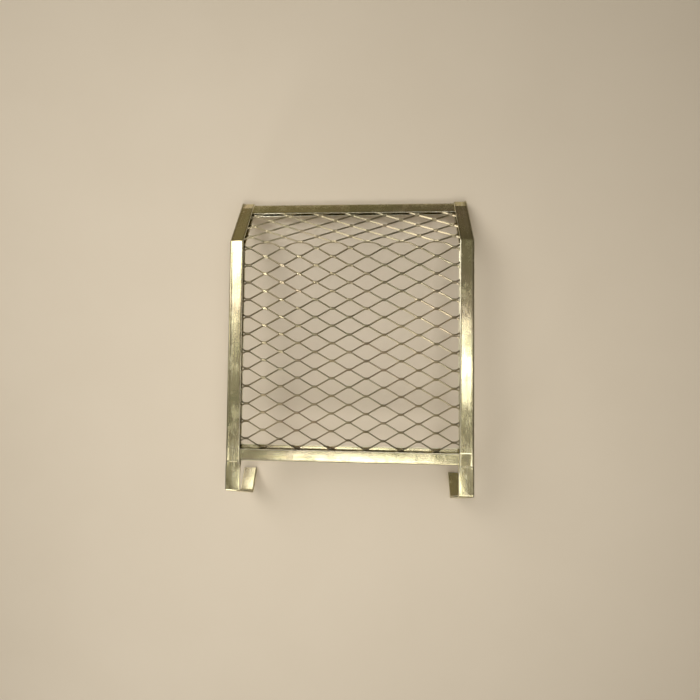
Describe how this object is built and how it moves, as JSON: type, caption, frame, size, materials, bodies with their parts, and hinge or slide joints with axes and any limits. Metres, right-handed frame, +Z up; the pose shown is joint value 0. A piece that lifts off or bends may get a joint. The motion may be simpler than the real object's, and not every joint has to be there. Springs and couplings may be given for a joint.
{
  "type": "paint roller bucket grid",
  "caption": "Expanded-metal screen in a folded sheet-steel frame, bent back at one end and hooked at the other, for rolling off paint inside a bucket.",
  "frame": {"origin": "Centre of the part's footprint, on the surface it lies on: it lies face up on its hook tips and on the back of its bent end.", "axes": "+X across the frame, +Y from the hooks to the bent end, +Z up, out of the face of the mesh"},
  "size_m": [0.2412, 0.3144, 0.0634],
  "materials": {
    "frame_steel": "bright rolled sheet steel with a pale yellow passivated zinc coat, streaked along each rail",
    "mesh_steel": "duller zinc-coated expanded metal with sheared strand edges"
  },
  "bodies": {
    "root": {"mesh_screen": "mesh_steel", "left_side_rail": "frame_steel", "right_side_rail": "frame_steel", "top_rail": "frame_steel", "bottom_rail": "frame_steel"}
  },
  "joints": []
}
